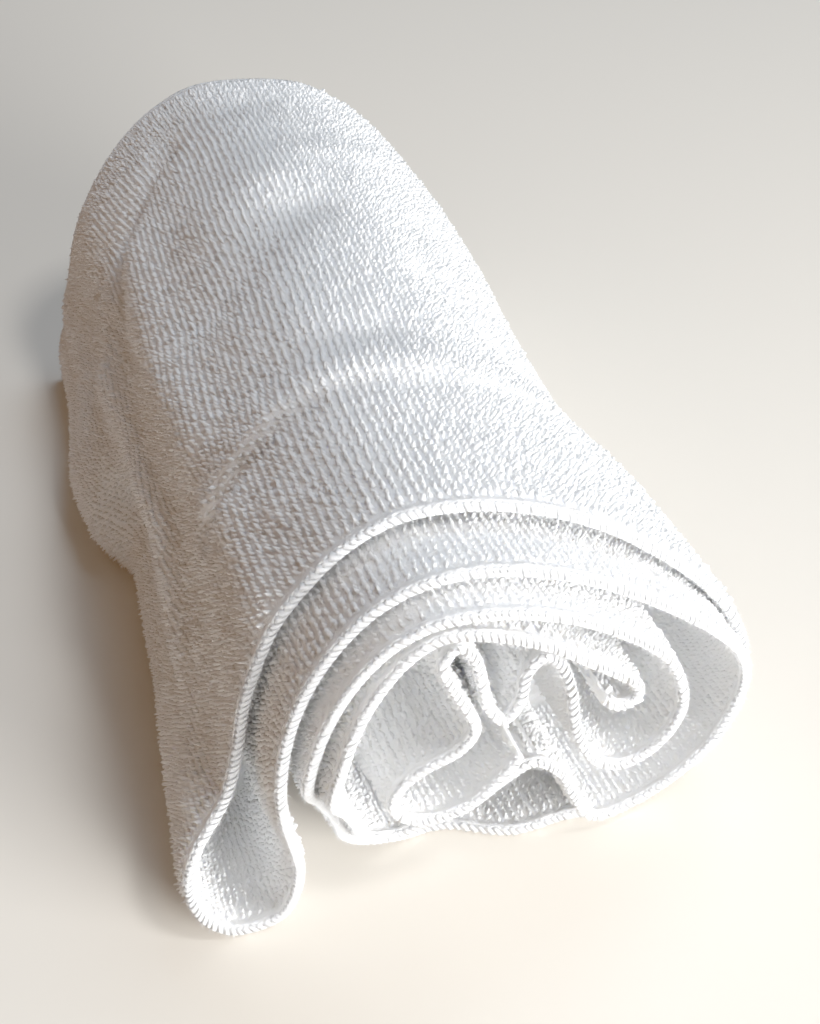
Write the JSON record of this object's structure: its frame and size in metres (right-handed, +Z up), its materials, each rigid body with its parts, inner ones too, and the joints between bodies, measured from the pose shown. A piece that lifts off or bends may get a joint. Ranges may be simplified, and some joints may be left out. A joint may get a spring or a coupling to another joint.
{
  "type": "rolled sports towel",
  "caption": "Terry sports towel folded in half and rolled up, its layers stepping out at the front end, with the middle fold hanging beside the roll as a soft loop.",
  "frame": {"origin": "middle of the underside of the roll's bounding box", "axes": "+Y along the roll away from the end with the stepped layers, +Z up from the surface it rests on, +X to the right of that end as seen from the front"},
  "size_m": [0.1332, 0.2336, 0.1008],
  "materials": {
    "terry": "looped terry pile, matt"
  },
  "bodies": {
    "root": {"towel": "terry"}
  },
  "joints": []
}
